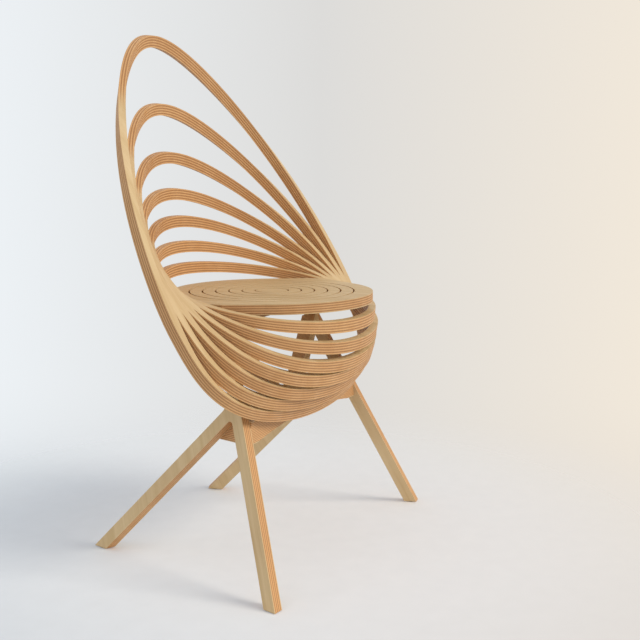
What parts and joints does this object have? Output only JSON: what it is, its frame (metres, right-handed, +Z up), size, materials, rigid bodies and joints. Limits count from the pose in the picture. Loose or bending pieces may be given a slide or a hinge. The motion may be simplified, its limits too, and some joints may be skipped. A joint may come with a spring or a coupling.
{
  "type": "outdoor chair",
  "caption": "Plywood chair: a fan of nested egg-shaped loops makes the back and the bowl around a flat round ringed seat, carried on forked side frames with a rail and a V brace.",
  "frame": {"origin": "on the floor under the middle of the whole chair's box", "axes": "+Z up, the sitter faces -Y, +X towards the sitter's left"},
  "size_m": [0.649, 0.4441, 0.9167],
  "materials": {
    "loop_plywood": "clear satin on plywood, cut edges showing plies",
    "seat_plywood": "clear satin on plywood",
    "frame_plywood": "clear satin on plywood",
    "brace_plywood": "clear satin on plywood",
    "dowel_wood": "plain wood, hidden",
    "screw_steel": "plain steel, hidden",
    "glide_plastic": "dark plain"
  },
  "bodies": {
    "root": {"arm_dowels": "dowel_wood", "axis_rod_left": "dowel_wood", "axis_rod_right": "dowel_wood", "brace_dowels": "dowel_wood", "glide_front_left": "glide_plastic", "glide_front_right": "glide_plastic", "glide_rear_left": "glide_plastic", "glide_rear_right": "glide_plastic", "lower_rail": "brace_plywood", "rail_dowels": "dowel_wood", "seat_bearer": "brace_plywood", "seat_centre_disc": "seat_plywood", "seat_ring_1": "seat_plywood", "seat_ring_2": "seat_plywood", "seat_ring_3": "seat_plywood", "seat_ring_4": "seat_plywood", "seat_ring_5": "seat_plywood", "seat_ring_6": "seat_plywood", "seat_screws": "screw_steel", "shell_loop_1": "loop_plywood", "shell_loop_2": "loop_plywood", "shell_loop_3": "loop_plywood", "shell_loop_4": "loop_plywood", "shell_loop_5": "loop_plywood", "shell_loop_6": "loop_plywood", "shell_loop_7": "loop_plywood", "side_frame_left": "frame_plywood", "side_frame_right": "frame_plywood", "v_brace": "brace_plywood"}
  },
  "joints": []
}
